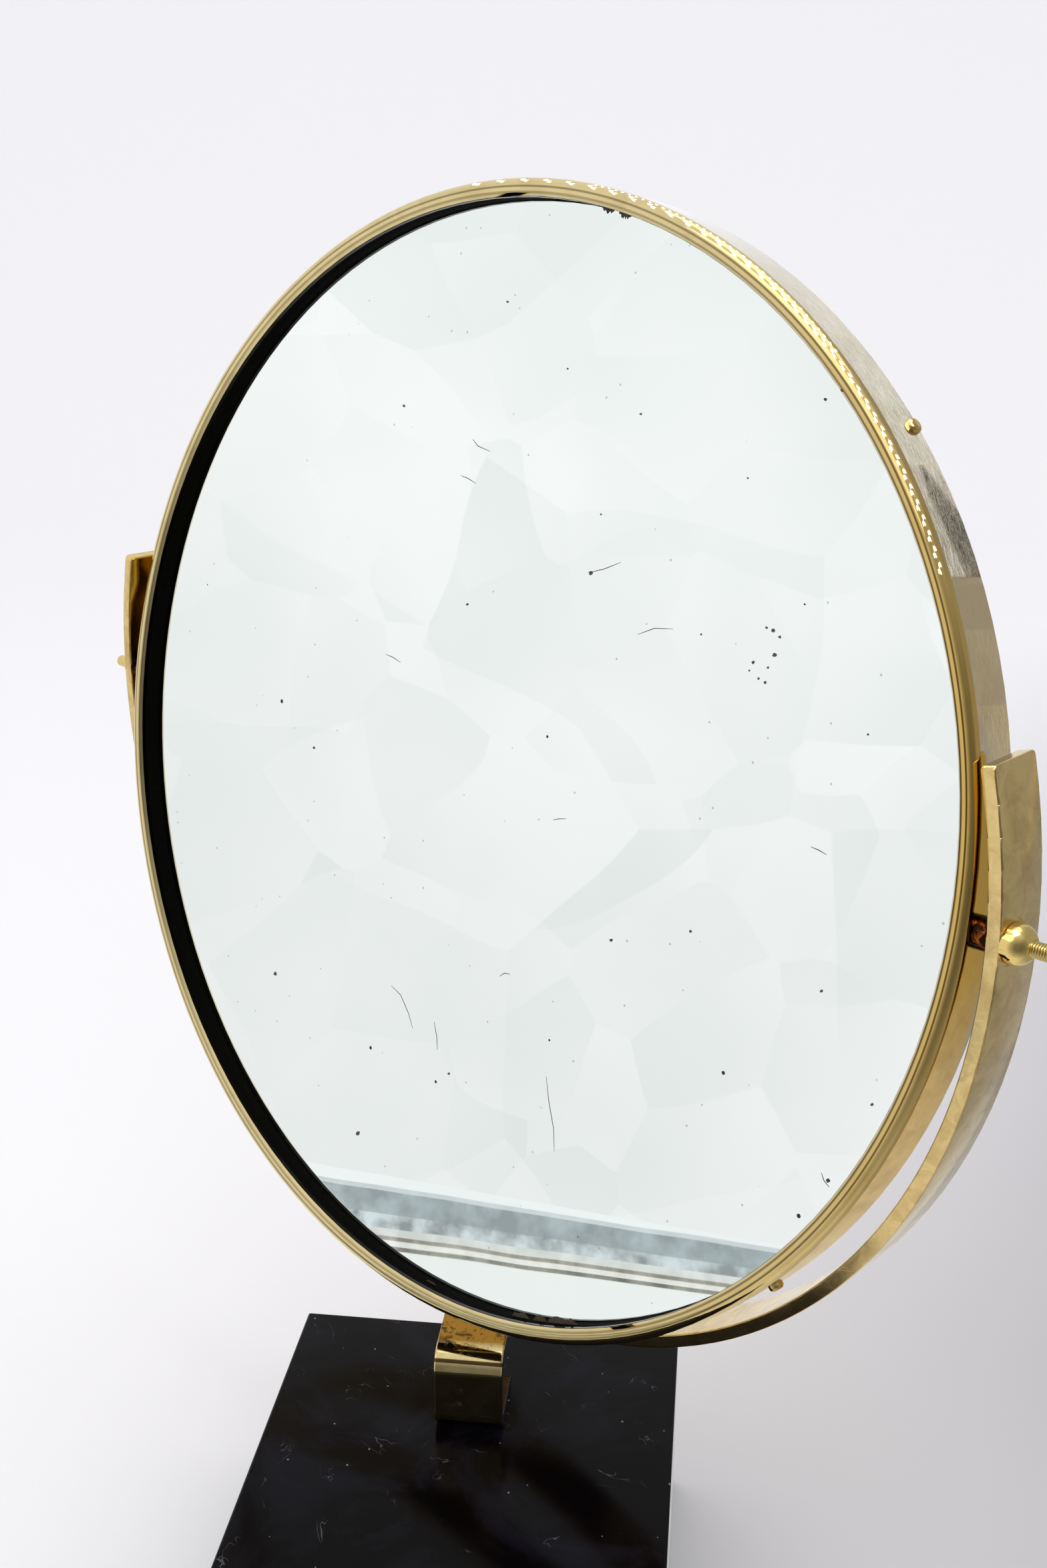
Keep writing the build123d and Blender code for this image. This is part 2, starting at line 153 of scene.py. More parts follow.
def glass_point(u, v):
    """The point of the glass that shows at a pixel."""
    way = ray(u, v)
    reach = (GLASS_CENTRE - CAMERA_PLACE).dot(GLASS_NORMAL) / way.dot(GLASS_NORMAL)
    return CAMERA_PLACE + way * reach


def glass_flat(u, v):
    """The same point as (x, z) in the head's own frame."""
    point = HEAD.inverted() @ glass_point(u, v)
    return point.x, point.z


def mirrored_point(u, v, distance):
    """A place in the room whose reflection shows at a pixel of the glass."""
    way = ray(u, v)
    bounced = way - 2 * way.dot(GLASS_NORMAL) * GLASS_NORMAL
    return glass_point(u, v) + bounced * distance


# Node helpers


class Shader:
    """A material with a Principled surface and short ways to add nodes."""

    def __init__(self, name, colour, roughness, metallic=0.0):
        self.material = bpy.data.materials.new(name)
        self.material.use_nodes = True
        self.tree = self.material.node_tree
        self.surface = self.tree.nodes["Principled BSDF"]
        self.surface.inputs["Base Color"].default_value = colour
        self.surface.inputs["Roughness"].default_value = roughness
        self.surface.inputs["Metallic"].default_value = metallic
        self.place = self.node("ShaderNodeTexCoord").outputs["Object"]

    def node(self, kind, inputs=(), **settings):
        made = self.tree.nodes.new(kind)
        for name, value in settings.items():
            setattr(made, name, value)
        for name, value in dict(inputs).items():
            self.feed(made.inputs[name], value)
        return made

    def feed(self, socket, value):
        if isinstance(value, bpy.types.NodeSocket):
            self.tree.links.new(value, socket)
        else:
            socket.default_value = value

    def set(self, name, value):
        self.feed(self.surface.inputs[name], value)

    def math(self, operation, first, second=0.0, clamp=False):
        return self.node(
            "ShaderNodeMath", {0: first, 1: second}, operation=operation, use_clamp=clamp
        ).outputs[0]

    def vector(self, x, y, z=0.0):
        return self.node("ShaderNodeCombineXYZ", {"X": x, "Y": y, "Z": z}).outputs[0]

    def split(self, vector):
        return self.node("ShaderNodeSeparateXYZ", {0: vector}).outputs

    def noise(self, scale, detail=3.0, rough=0.5, where=None, warp=0.0):
        inputs = {
            "Vector": self.place if where is None else where,
            "Scale": scale,
            "Detail": detail,
            "Roughness": rough,
            "Distortion": warp,
        }
        return self.node("ShaderNodeTexNoise", inputs).outputs[0]

    def cells(self, scale, where=None):
        inputs = {"Vector": self.place if where is None else where, "Scale": scale}
        return self.node("ShaderNodeTexVoronoi", inputs)

    def spread(self, value, low, high, start=0.0, end=1.0):
        """A value taken from one range to another and kept inside it."""
        inputs = {0: value, 1: low, 2: high, 3: start, 4: end}
        return self.node("ShaderNodeMapRange", inputs, clamp=True).outputs[0]

    def mix(self, share, first, second, blend="MIX"):
        made = self.node("ShaderNodeMix", data_type="RGBA", blend_type=blend)
        self.feed(made.inputs[0], share)
        self.feed(made.inputs[6], first)
        self.feed(made.inputs[7], second)
        return made.outputs[2]

    def bump(self, height, distance, strength=1.0, under=None):
        inputs = {"Height": height, "Distance": distance, "Strength": strength}
        if under is not None:
            inputs["Normal"] = under
        return self.node("ShaderNodeBump", inputs).outputs[0]

    def head_place(self):
        """Coordinates in the head's own frame."""
        moved = self.node(
            "ShaderNodeVectorMath", {0: self.place, 1: PIVOT}, operation="SUBTRACT"
        ).outputs[0]
        for axis, angle in (("Z_AXIS", -SWIVEL), ("X_AXIS", -TILT)):
            moved = self.node(
                "ShaderNodeVectorRotate", {"Vector": moved, "Angle": angle}, rotation_type=axis
            ).outputs[0]
        return moved

    def round_place(self, local):
        """Arc length round the head, depth and radius, from head coordinates."""
        x, y, z = self.split(local)
        arc = self.math("MULTIPLY", self.math("ARCTAN2", z, x), BAND_RADIUS)
        radius = self.math(
            "SQRT", self.math("ADD", self.math("MULTIPLY", x, x), self.math("MULTIPLY", z, z))
        )
        return arc, y, radius

    def hatch(self, along, across, lines, length, slant):
        """Fine lines along one direction, leaning by a slant."""
        leaning = self.math("ADD", across, self.math("MULTIPLY", along, slant))
        stretched = self.vector(self.math("MULTIPLY", along, length), self.math("MULTIPLY", leaning, lines))
        return self.noise(1.0, 2.0, 0.6, stretched)


def smooth(node):
    """Rounds the shading of a CAD node's curved faces and keeps its edges crisp."""
    weld = node.modifiers.new("weld", "WELD")
    weld.merge_threshold = 1e-6
    edges = node.modifiers.new("edges", "EDGE_SPLIT")
    edges.split_angle = radians(CRISP_ANGLE)
    for face in node.data.polygons:
        face.use_smooth = True


def dress(shader, *names):
    """Puts a material on CAD nodes."""
    for name in names:
        node = NODES[name]
        for index in range(len(node.material_slots)):
            node.material_slots[index].material = shader.material


# Materials


def polished_brass(name, colour, roughness, tarnish):
    """Polished brass with faint tarnish clouds, small pits and hair scratches."""
    brass = Shader(name, colour, roughness, 1.0)
    clouds = brass.noise(55.0, 5.0, 0.6, warp=0.6)
    patches = brass.spread(clouds, 0.52, 0.78, 0.0, tarnish)
    tinted = brass.mix(patches, colour, (0.35, 0.22, 0.09, 1.0))
    specks = brass.cells(520.0).outputs["Distance"]
    pits = brass.spread(specks, 0.05, 0.14, 0.55, 0.0)
    chosen = brass.spread(brass.noise(120.0, 2.0), 0.60, 0.64)
    pits = brass.math("MULTIPLY", pits, chosen)
    brass.set("Base Color", brass.mix(pits, tinted, (0.10, 0.06, 0.03, 1.0)))
    x, y, z = brass.split(brass.place)
    hair = brass.hatch(x, brass.math("ADD", y, z), 2600.0, 70.0, 0.35)
    scratches = brass.spread(hair, 0.60, 0.75)
    cloudy = brass.spread(clouds, 0.4, 0.8, roughness, roughness + 0.10)
    brass.set("Roughness", brass.math("ADD", brass.math("MULTIPLY", scratches, 0.10), cloudy))
    waves = brass.noise(28.0, 2.0, 0.5)
    under = brass.bump(waves, 0.00025)
    brass.set("Normal", brass.bump(scratches, 0.000004, under=under))
    return brass


def yoke_aged_with_painted_shade():
    """The yoke's strip: satin outside, with painted shade in amber on the inner face where less light gets in."""
    brass = polished_brass("yoke_brass_aged_painted_shade", srgb(228, 200, 138), 0.13, 0.50)
    base = brass.surface.inputs["Base Color"].links[0].from_socket
    moved = brass.node("ShaderNodeVectorMath", {0: brass.place, 1: PIVOT}, operation="SUBTRACT").outputs[0]
    moved = brass.node(
        "ShaderNodeVectorRotate", {"Vector": moved, "Angle": -SWIVEL}, rotation_type="Z_AXIS"
    ).outputs[0]
    radius = brass.round_place(moved)[2]
    # Painted shade: the inner face is tinted amber.
    inner = brass.spread(radius, YOKE_INNER + 0.0001, YOKE_INNER + 0.0004, 0.85, 0.0)
    satin = brass.noise(150.0, 5.0, 0.66, warp=1.0)
    base = brass.mix(brass.spread(satin, 0.42, 0.72, 0.0, 0.45), base, srgb(150, 116, 62))
    brass.set("Base Color", brass.mix(inner, base, srgb(196, 158, 52)))
    return brass


def brushed_band():
    """The wide band: polished brass crossed by fine brushing in two directions."""
    colour = srgb(222, 211, 186)
    brass = Shader("band_brass_aged", colour, 0.06, 1.0)
    arc, depth = brass.round_place(brass.head_place())[:2]
    first = brass.hatch(arc, depth, 5200.0, 190.0, 0.22)
    second = brass.hatch(arc, depth, 4600.0, 170.0, -0.26)
    lines = brass.math("MAXIMUM", first, second)
    fine = brass.spread(lines, 0.52, 0.78)
    clouds = brass.noise(34.0, 5.0, 0.6, brass.vector(arc, depth), 0.8)
    dark = brass.mix(brass.spread(clouds, 0.50, 0.80, 0.0, 0.35), colour, srgb(172, 148, 108))
    brass.set("Base Color", brass.mix(brass.math("MULTIPLY", fine, 0.45), dark, srgb(158, 140, 108)))
    brass.set("Roughness", brass.spread(fine, 0.0, 1.0, 0.03, 0.08))
    under = brass.bump(brass.noise(22.0, 2.0), 0.00006)
    brass.set("Normal", brass.bump(fine, 0.000003, under=under))
    return brass


def turned_bezel():
    """The bezel: polished brass with two turned grooves between the lip and the shoulder, with painted shade on
    its right side and at the lip's inner edge.
    """
    colour = srgb(222, 202, 150)
    brass = Shader("bezel_brass_turned", colour, 0.03, 1.0)
    arc, _, radius = brass.round_place(brass.head_place())
    aged = brass.spread(brass.noise(70.0, 4.0, 0.6, warp=0.5), 0.5, 0.8, 0.0, 0.35)
    tinted = brass.mix(aged, colour, srgb(160, 124, 62))
    # Painted shade: the right side of the bezel is tinted a deeper gold.
    side = brass.spread(arc, -0.20, 0.02, 0.0, 1.0)
    side = brass.math("MULTIPLY", side, brass.spread(arc, 0.04, 0.19, 1.0, 0.0))
    tinted = brass.mix(brass.math("MULTIPLY", side, 0.75), tinted, srgb(206, 166, 74))
    # Dark join lines at the two grooves, drawn darker on the right side as painted shade.
    grooves = ((LIP_GROOVE, 0.00030, 0.45, 0.95), (SHOULDER_GROOVE, 0.00024, 0.60, 0.95))
    for at, half, least, most in grooves:
        off = brass.math("ABSOLUTE", brass.math("SUBTRACT", radius, at))
        line = brass.spread(off, half * 0.5, half * 1.5, 1.0, 0.0)
        line = brass.math("MULTIPLY", line, brass.spread(side, 0.0, 1.0, least, most))
        tinted = brass.mix(line, tinted, srgb(66, 47, 12))
    # Painted shade: a thin near-black line at the lip's inner edge, where it turns into the recess.
    inner = brass.spread(radius, LIP_INNER - 0.00006, LIP_INNER, 1.0, 0.0)
    tinted = brass.mix(inner, tinted, srgb(12, 11, 9))
    brass.set("Base Color", tinted)
    stretched = brass.vector(brass.math("MULTIPLY", arc, 40.0), brass.math("MULTIPLY", radius, 9000.0))
    turned = brass.noise(1.0, 2.0, 0.6, stretched)
    fine = brass.spread(turned, 0.55, 0.8)
    brass.set("Roughness", brass.spread(fine, 0.0, 1.0, 0.015, 0.04))
    brass.set("Normal", brass.bump(fine, 0.0000008))
    return brass


def aged_glass():
    """Old silvered glass: faint green, nearly flat, with worn spots and fine dust."""
    colour = srgb(246, 250, 249)
    glass = Shader("silvered_glass_aged", colour, 0.012, 1.0)
    x, _, z = glass.split(glass.head_place())
    flat = glass.vector(x, z)
    dots = glass.cells(75.0, flat)
    chance = glass.split(dots.outputs["Color"])[0]
    size = glass.spread(chance, 0.80, 1.0, 0.0, 0.055)
    spot = glass.math("LESS_THAN", dots.outputs["Distance"], size)
    fine = glass.cells(310.0, flat)
    rare = glass.math("GREATER_THAN", glass.split(fine.outputs["Color"])[1], 0.90)
    dust = glass.math("MULTIPLY", glass.math("LESS_THAN", fine.outputs["Distance"], 0.10), rare)
    haze = glass.spread(glass.noise(16.0, 4.0, 0.55, flat, 0.4), 0.35, 0.75, 0.0, 0.07)
    tinted = glass.mix(haze, colour, srgb(205, 214, 212))
    dusty = glass.mix(glass.math("MULTIPLY", dust, 0.45), tinted, srgb(120, 112, 100))
    glass.set("Base Color", glass.mix(spot, dusty, srgb(70, 58, 46)))
    glass.set("Roughness", glass.spread(haze, 0.0, 0.07, 0.008, 0.024))
    glass.set("Normal", glass.bump(glass.noise(9.0, 2.0, 0.5, flat), 0.00010))
    return glass


def black_marble():
    """Polished black stone: blue-black clouds, white flecks and short thin veins."""
    stone = Shader("black_marble_polished", srgb(13, 9, 10), 0.16)
    clouds = stone.noise(26.0, 6.0, 0.62, warp=1.1)
    mottled = stone.mix(stone.spread(clouds, 0.46, 0.76), srgb(7, 4, 5), srgb(26, 26, 38))
    warm = stone.noise(60.0, 4.0, 0.6, warp=0.5)
    mottled = stone.mix(stone.spread(warm, 0.60, 0.80, 0.0, 0.5), mottled, srgb(24, 17, 12))
    ridge = stone.math("ABSOLUTE", stone.math("SUBTRACT", stone.noise(38.0, 3.0, 0.5, warp=2.2), 0.5))
    vein = stone.spread(ridge, 0.0, 0.005, 1.0, 0.0)
    broken = stone.spread(stone.noise(85.0, 2.0), 0.57, 0.67, 0.0, 0.55)
    mottled = stone.mix(stone.math("MULTIPLY", vein, broken), mottled, srgb(132, 128, 132))
    bits = stone.cells(420.0)
    chance = stone.split(bits.outputs["Color"])[0]
    size = stone.spread(chance, 0.93, 1.0, 0.0, 0.15)
    fleck = stone.math("LESS_THAN", bits.outputs["Distance"], size)
    stone.set("Base Color", stone.mix(stone.math("MULTIPLY", fleck, 0.6), mottled, srgb(168, 164, 166)))
    stone.set("Roughness", stone.spread(clouds, 0.3, 0.8, 0.12, 0.24))
    stone.set("Normal", stone.bump(stone.noise(240.0, 3.0), 0.000006))
    stone.set("Specular IOR Level", 0.07)
    return stone


def cloth(name, colour):
    """Pressed felt: short crossed fibres."""
    felt = Shader(name, colour, 0.95)
    fibres = felt.noise(1400.0, 4.0, 0.7, warp=2.0)
    lighter = tuple(min(1.0, part * 2.2 + 0.01) for part in colour[:3]) + (1.0,)
    felt.set("Base Color", felt.mix(felt.spread(fibres, 0.35, 0.7), colour, lighter))
    felt.set("Normal", felt.bump(fibres, 0.0002))
    return felt


def black_rubber():
    """The seal: matt black with a faint mould texture."""
    rubber = Shader("gasket_black", srgb(7, 7, 6), 0.70)
    grain = rubber.noise(900.0, 3.0, 0.6)
    rubber.set("Base Color", rubber.mix(grain, srgb(4, 4, 3), srgb(14, 13, 10)))
    rubber.set("Normal", rubber.bump(grain, 0.00003))
    rubber.set("Specular IOR Level", 0.02)
    return rubber


def dark_spacer():
    """The spacer: brass painted nearly black as a painted dark reflection, with painted orange glints."""
    metal = Shader("spacer_dark", srgb(40, 24, 14), 0.22, 1.0)
    glint_pattern = metal.noise(420.0, 4.0, 0.6, warp=0.8)
    # Painted reflection and painted glints: a near-black base with orange spots where the noise is high.
    metal.set("Base Color", metal.mix(metal.spread(glint_pattern, 0.50, 0.72), srgb(34, 20, 12), srgb(176, 92, 34)))
    metal.set("Roughness", metal.spread(glint_pattern, 0.3, 0.7, 0.35, 0.12))
    metal.set("Normal", metal.bump(glint_pattern, 0.00005))
    return metal


def plain_steel():
    """Zinc-plated steel of the hidden washers and nut."""
    steel = Shader("steel_plated", srgb(176, 176, 172), 0.34, 1.0)
    grain = steel.noise(700.0, 4.0, 0.6)
    steel.set("Base Color", steel.mix(grain, srgb(150, 150, 146), srgb(196, 196, 192)))
    steel.set("Roughness", steel.spread(grain, 0.3, 0.7, 0.26, 0.42))
    steel.set("Normal", steel.bump(grain, 0.00002))
    return steel


def bracket_wear_and_painted_light():
    """The bracket: warm brass, rubbed round the swivel and pitted with dark spots, with painted reflections in
    amber on the top and dark on the bends, and painted shade inside the C.
    """
    colour = srgb(226, 206, 150)
    brass = Shader("bracket_brass_aged_painted_light", colour, 0.08, 1.0)
    off = brass.node(
        "ShaderNodeVectorMath", {0: brass.place, 1: SWIVEL_AXIS}, operation="DISTANCE"
    ).outputs["Value"]
    worn = brass.spread(off, 0.026, 0.036, 1.0, 0.0)
    blots = brass.spread(brass.noise(330.0, 5.0, 0.70, warp=0.8), 0.53, 0.60)
    dark = brass.math("MULTIPLY", worn, brass.math("MULTIPLY", blots, 0.85))
    clouds = brass.noise(90.0, 4.0, 0.6, warp=0.6)
    tinted = brass.mix(brass.spread(clouds, 0.48, 0.8, 0.0, 0.45), colour, srgb(134, 92, 40))
    _, y, z = brass.split(brass.place)
    # Painted reflection: the top near the front bend is tinted amber.
    high = brass.spread(z, BRACKET_TOP - 0.0010, BRACKET_TOP - 0.0002)
    top = brass.math("MULTIPLY", high, brass.spread(y, 0.0318, 0.0352))
    tinted = brass.mix(brass.math("MULTIPLY", top, 0.95), tinted, srgb(150, 104, 6))
    # Painted reflection: darker towards the bottom, where the lower bend faces the black stone.
    low = brass.spread(z, 0.0525, 0.0580, 0.9, 0.0)
    tinted = brass.mix(low, tinted, srgb(92, 44, 20))
    # Painted shade: the inside of the C, under the top leg and behind the front leg, is darkened.
    under_top = brass.spread(z, 0.0700, 0.0720, 1.0, 0.0)
    foot = brass.math("MULTIPLY", under_top, brass.spread(y, 0.0306, 0.0312))
    tinted = brass.mix(brass.math("MULTIPLY", foot, 0.95), tinted, srgb(38, 24, 12))
    # Painted reflection: a dark line across the front bend.
    rise = brass.math("SUBTRACT", z, BEND_CENTRE_HEIGHT)
    turn = brass.math("ARCTAN2", rise, brass.math("SUBTRACT", BEND_CENTRE_DEPTH, y))
    off_line = brass.math("ABSOLUTE", brass.math("SUBTRACT", turn, BEND_LINE_ANGLE))
    stripe = brass.spread(off_line, 0.07, 0.10, 0.92, 0.0)
    stripe = brass.math("MULTIPLY", stripe, brass.math("LESS_THAN", y, BEND_CENTRE_DEPTH))
    tinted = brass.mix(stripe, tinted, srgb(58, 34, 8))
    brass.set("Base Color", brass.mix(dark, tinted, srgb(48, 30, 12)))
    cloudy = brass.spread(clouds, 0.35, 0.8, 0.06, 0.16)
    brass.set("Roughness", brass.math("ADD", cloudy, brass.math("MULTIPLY", dark, 0.3)))
    under = brass.bump(brass.noise(60.0, 2.0), 0.0002)
    brass.set("Normal", brass.bump(blots, 0.00004, brass.math("MULTIPLY", worn, 0.8), under))
    return brass


def card_back():
    """Grey-brown board behind the glass."""
    card = Shader("backing_card_plain", srgb(170, 158, 138), 0.9)
    fibres = card.noise(500.0, 5.0, 0.7)
    card.set("Base Color", card.mix(fibres, srgb(150, 138, 118), srgb(188, 178, 158)))
    card.set("Normal", card.bump(fibres, 0.00006))
    return card


def dark_mark():
    """Bare spots in the silvering, chips and hairs on the glass."""
    mark = Shader("glass_mark_dark", srgb(52, 42, 32), 0.6)
    shade = mark.noise(900.0, 3.0)
    mark.set("Base Color", mark.mix(shade, srgb(30, 24, 20), srgb(96, 80, 60)))
    return mark


# Pieces made here


def add_mesh(name, points, faces, shader, body, flat=False):
    mesh = bpy.data.meshes.new(name)
    mesh.from_pydata([tuple(p) for p in points], [], faces)
    mesh.validate()
    mesh.materials.append(shader.material)
    for face in mesh.polygons:
        face.use_smooth = not flat
    piece = bpy.data.objects.new(name, mesh)
    bpy.context.scene.collection.objects.link(piece)
    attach(piece, body)
    return piece


def threaded_stud(shader):
    """The right pivot stud with a true helical thread, in place of the ringed one."""
    around = 40
    step = THREAD_PITCH / 8
    places = [STUD_START, STUD_THREAD_START]
    count = ceil((STUD_END - 0.0006 - STUD_THREAD_START) / step)
    places += [STUD_THREAD_START + step * (k + 1) for k in range(count)]
    points = []
    for place in places:
        for k in range(around):
            angle = 2 * pi * k / around
            turn = (place / THREAD_PITCH - k / around) % 1.0
            ridge = 1 - abs(2 * turn - 1)
            threaded = place > STUD_THREAD_START
            radius = STUD_ROOT + (STUD_RADIUS - STUD_ROOT) * (min(1.0, ridge * 1.25) if threaded else 1.0)
            fade = min(1.0, max(0.0, (STUD_END - place) / 0.0012))
            radius = min(radius, STUD_RADIUS * (0.72 + 0.28 * fade))
            points.append(HEAD @ Vector((place, radius * cos(angle), radius * sin(angle))))
    rows = len(places)
    faces = []
    for row in range(rows - 1):
        for k in range(around):
            after = (k + 1) % around
            a, b = row * around + k, row * around + after
            faces.append((a, b, b + around, a + around))
    centre_start, centre_end = len(points), len(points) + 1
    points.append(HEAD @ Vector((STUD_START, 0, 0)))
    points.append(HEAD @ Vector((min(places[-1] + 0.0001, STUD_END), 0, 0)))
    last = (rows - 1) * around
    for k in range(around):
        after = (k + 1) % around
        faces.append((centre_start, after, k))
        faces.append((centre_end, last + k, last + after))
    piece = add_mesh("threaded_stud", points, faces, shader, "head")
    edges = piece.modifiers.new("edges", "EDGE_SPLIT")
    edges.split_angle = radians(THREAD_CRISP_ANGLE)
    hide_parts("right_pivot_stud")


HAIRS = (
    ((708, 658), (716, 668), (734, 676)),
    ((690, 712), (700, 716), (713, 724)),
    ((880, 858), (905, 852), (930, 842)),
    ((955, 950), (980, 941), (1008, 942)),
    ((578, 980), (588, 984), (600, 992)),
    ((1214, 1268), (1226, 1273), (1238, 1280)),
    ((828, 1228), (838, 1226), (848, 1226)),
    ((586, 1476), (600, 1490), (612, 1518), (618, 1540)),
    ((748, 1462), (756, 1457), (764, 1459)),
    ((818, 1612), (822, 1650), (829, 1690), (830, 1724)),
    ((650, 1530), (654, 1552), (655, 1572)),
    ((1230, 1756), (1234, 1768), (1242, 1778)),
)
SPOTS = (
    (1158, 944, 4.5), (1168, 954, 3.0), (1160, 981, 4.5), (1128, 992, 3.5), (1136, 1016, 2.5),
    (1146, 1022, 3.0), (1148, 940, 2.5), (915, 1408, 3.5), (536, 1697, 4.0), (1306, 1654, 3.5),
    (1240, 1768, 4.0), (1236, 598, 4.0), (885, 858, 4.5), (760, 452, 2.5), (960, 620, 2.5),
    (605, 608, 2.5), (1034, 1395, 3.0), (470, 1120, 2.5), (700, 905, 2.5), (1230, 1484, 3.0),
    (412, 1458, 3.5), (850, 552, 2.0), (1120, 716, 2.0), (1300, 1100, 2.5), (672, 1608, 2.5),
    (1050, 950, 2.0), (900, 770, 2.0), (1205, 905, 2.0), (1122, 1004, 2.0), (1150, 1000, 2.5),
)
RIM_CHIPS = (
    ((902, 306), (922, 312), 1.5), ((928, 312), (948, 320), 1.7),
    ((766, 1958), (792, 1966), 2.1), ((798, 1968), (818, 1972), 1.9), ((820, 1972), (864, 1976), 2.3),
    ((1180, 484), (1186, 490), 0.7), ((1388, 884), (1392, 900), 0.8), ((640, 1900), (654, 1910), 0.7),
)
MARK_LIFT = 0.00003


def marks_on_glass(shader):
    """Hairs, bare spots and rim chips of the old silvering, as thin flat shapes on the glass."""
    random = Random(7)
    points, faces = [], []

    def place(x, z):
        radius = (x * x + z * z) ** 0.5
        keep = min(1.0, GLASS_VISIBLE / radius) if radius else 1.0
        return HEAD @ Vector((x * keep, GLASS_FRONT - MARK_LIFT, z * keep))

    def blot(u, v, wide, high, corners=11):
        first = len(points)
        for k in range(corners):
            angle = 2 * pi * k / corners
            reach = random.uniform(0.7, 1.15)
            x, z = glass_flat(u + wide * reach * cos(angle), v + high * reach * sin(angle))
            points.append(place(x, z))
        faces.append(tuple(range(first, first + corners)))

    for line in HAIRS:
        flats = [Vector(glass_flat(u, v)) for u, v in line]
        fine = []
        for a, b in zip(flats, flats[1:]):
            fine += [a.lerp(b, k / 4) for k in range(4)]
        fine.append(flats[-1])
        first = len(points)
        for k, spot in enumerate(fine):
            ahead = fine[min(k + 1, len(fine) - 1)] - fine[max(k - 1, 0)]
            side = Vector((-ahead.y, ahead.x)).normalized()
            half = 0.00010 * (0.35 + 0.65 * sin(pi * (k + 0.5) / len(fine)))
            for way in (1, -1):
                points.append(place(*(spot + side * half * way)))
        for k in range(len(fine) - 1):
            a = first + 2 * k
            faces.append((a, a + 1, a + 3, a + 2))
    for u, v, size in SPOTS:
        blot(u, v, size * 0.8, size * 0.8)
    for begin, end, depth in RIM_CHIPS:
        (x0, z0), (x1, z1) = glass_flat(*begin), glass_flat(*end)
        first_angle, last_angle = atan2(z0, x0), atan2(z1, x1)
        first, steps = len(points), 14
        for k in range(steps + 1):
            angle = first_angle + (last_angle - first_angle) * k / steps
            inward = 0.001 * depth * sin(pi * k / steps) ** 0.5 * random.uniform(0.45, 1.0)
            for reach in (GLASS_VISIBLE, GLASS_VISIBLE - 0.00015 - inward):
                points.append(place(reach * cos(angle), reach * sin(angle)))
        for k in range(steps):
            a = first + 2 * k
            faces.append((a, a + 1, a + 3, a + 2))
    piece = add_mesh("glass_marks", points, faces, shader, "head", flat=True)


# Room: a pale sweep, soft light, and what the brass and glass reflect


def plain_stage(name, points, faces, material):
    mesh = bpy.data.meshes.new(name)
    mesh.from_pydata([tuple(p) for p in points], [], faces)
    mesh.materials.append(material)
    for face in mesh.polygons:
        face.use_smooth = True
    piece = bpy.data.objects.new(name, mesh)
    bpy.context.scene.collection.objects.link(piece)
    return piece


def floor_sweep():
    """A floor that curves up into a backdrop, with painted shade as a greyer patch to the right of the mirror."""
    paint = Shader("floor_paint", srgb(250, 249, 251), 0.9)
    x, y, z = paint.split(paint.place)
    # Painted shade: the floor is greyed to the right of the mirror, less up the sweep and further away.
    side = paint.math("ADD", x, paint.math("MULTIPLY", y, -0.25))
    share = paint.spread(side, -0.05, 0.36)
    share = paint.math("MULTIPLY", share, paint.spread(z, 0.0, 0.9, 1.0, 0.25))
    away = paint.node(
        "ShaderNodeVectorMath", {0: paint.place, 1: (0.55, 0.15, 0.0)}, operation="DISTANCE"
    ).outputs["Value"]
    share = paint.math("MULTIPLY", share, paint.spread(away, 0.45, 1.15, 1.0, 0.0))
    cloudy = paint.noise(2.5, 2.0)
    share = paint.math("MULTIPLY", share, paint.spread(cloudy, 0.2, 0.8, 0.8, 1.1))
    paint.set("Base Color", paint.mix(share, srgb(250, 249, 252), srgb(138, 134, 142)))
    paint.set("Specular IOR Level", 0.0)
    width, front, back, bend, top = 6.0, -4.0, 1.6, 1.2, 4.0
    outline = [(front, 0.0), (back, 0.0)]
    for k in range(1, 17):
        angle = radians(90 * k / 16)
        outline.append((back + bend * sin(angle), bend * (1 - cos(angle))))
    outline.append((back + bend, top))
    points, faces = [], []
    for depth, height in outline:
        points += [(-width, depth, height), (width, depth, height)]
    for k in range(len(outline) - 1):
        faces.append((2 * k, 2 * k + 1, 2 * k + 3, 2 * k + 2))
    floor = plain_stage("floor", points, faces, paint.material)
    floor.visible_glossy = False


def glowing(name, colour, strength):
    """A material that only glows, with its node tree and glow node."""
    material = bpy.data.materials.new(name)
    material.use_nodes = True
    tree = material.node_tree
    tree.nodes.clear()
    out = tree.nodes.new("ShaderNodeOutputMaterial")
    glow = tree.nodes.new("ShaderNodeEmission")
    glow.inputs["Color"].default_value = colour
    glow.inputs["Strength"].default_value = strength
    tree.links.new(glow.outputs[0], out.inputs["Surface"])
    return material, tree, glow


def seen_in_reflections_only(piece):
    piece.visible_camera = False
    piece.visible_diffuse = False
    piece.visible_shadow = False
    piece.visible_transmission = False


